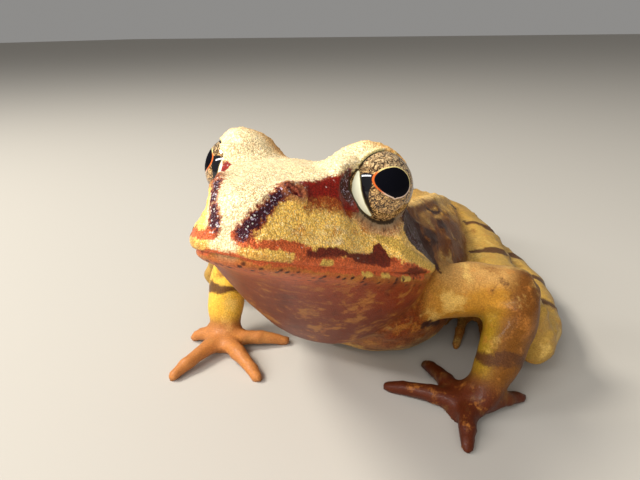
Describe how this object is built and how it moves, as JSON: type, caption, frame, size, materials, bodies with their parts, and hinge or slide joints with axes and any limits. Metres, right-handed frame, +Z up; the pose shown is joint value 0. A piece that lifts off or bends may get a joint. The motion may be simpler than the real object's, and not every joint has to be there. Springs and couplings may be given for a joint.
{
  "type": "common frog model",
  "caption": "Still, life-size common frog, crouched with its head raised and turned a little to its left.",
  "frame": {"origin": "on the ground under the middle of the whole animal's bounding box", "axes": "+Z up, +X to the frog's left, -Y the way its trunk faces"},
  "size_m": [0.049, 0.0666, 0.0294],
  "materials": {
    "skin_upper": "moist skin, golden brown",
    "skin_throat": "moist skin, rust red",
    "skin_body": "moist skin, ochre brown",
    "skin_hand": "moist skin, reddish",
    "skin_foot": "moist skin, brown",
    "skin_eardrum": "taut thin skin, dark brown",
    "eye": "wet, glossy"
  },
  "bodies": {
    "root": {"eardrum_left": "skin_eardrum", "eardrum_right": "skin_eardrum", "eye_left": "eye", "eye_right": "eye", "foot_left": "skin_foot", "foot_right": "skin_foot", "forearm_left": "skin_upper", "forearm_right": "skin_upper", "hand_left": "skin_hand", "hand_right": "skin_hand", "head": "skin_upper", "lower_jaw": "skin_throat", "shank_left": "skin_upper", "shank_right": "skin_upper", "thigh_left": "skin_upper", "thigh_right": "skin_upper", "trunk": "skin_body", "upper_arm_left": "skin_upper", "upper_arm_right": "skin_upper"}
  },
  "joints": []
}
